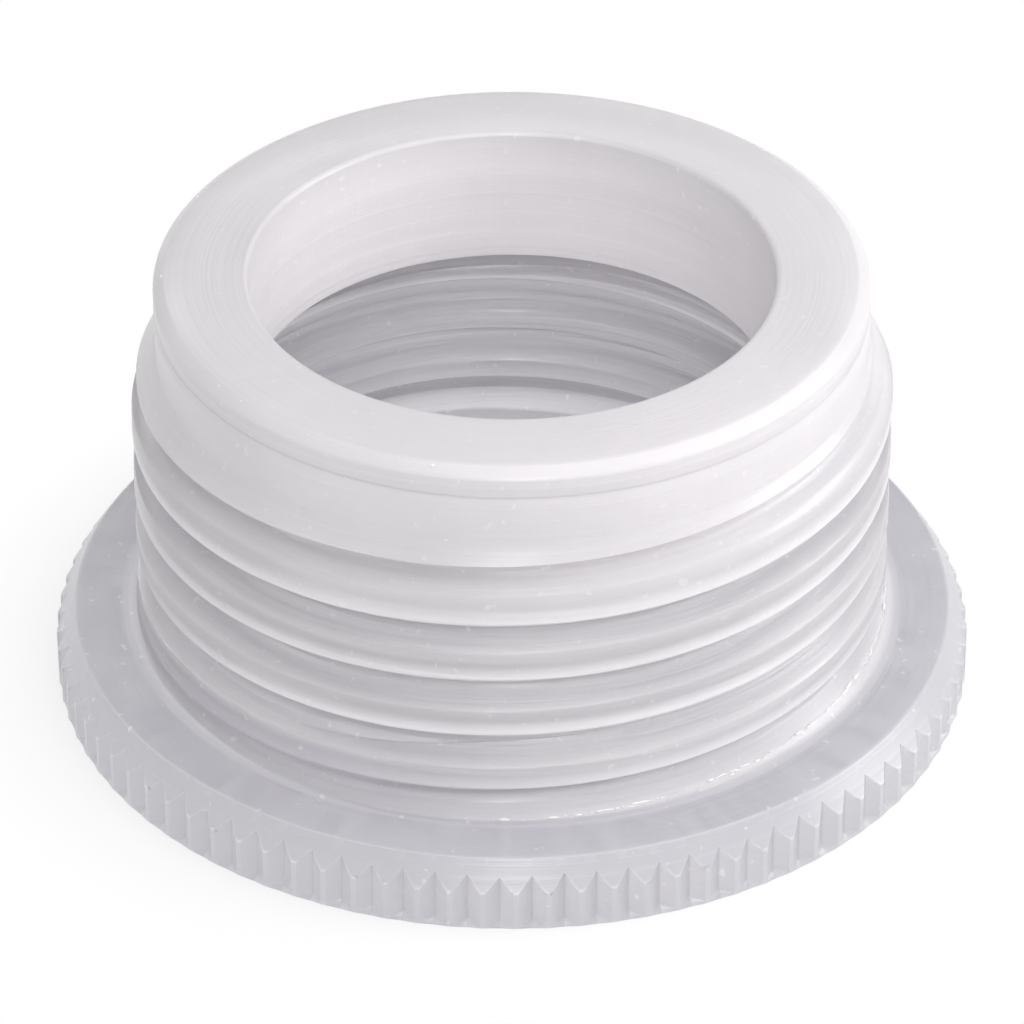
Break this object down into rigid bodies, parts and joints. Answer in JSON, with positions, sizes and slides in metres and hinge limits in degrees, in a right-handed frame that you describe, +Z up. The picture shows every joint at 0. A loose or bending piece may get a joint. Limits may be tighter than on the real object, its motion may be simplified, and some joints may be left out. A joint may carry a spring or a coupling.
{
  "type": "bottle thread adapter",
  "caption": "Turned natural-plastic bottle thread adapter: coarse male thread outside, coarse female thread inside, open top bore and a round flange with a knurled edge.",
  "frame": {"origin": "centre of the flange's underside, on the common axis of both threads", "axes": "+Z up along the axis, from the flange to the top rim"},
  "size_m": [0.055, 0.055, 0.0273],
  "materials": {
    "natural_plastic": "as turned, milky and slightly translucent, with fine circumferential tool marks"
  },
  "bodies": {
    "root": {"thread_adapter": "natural_plastic"}
  },
  "joints": []
}
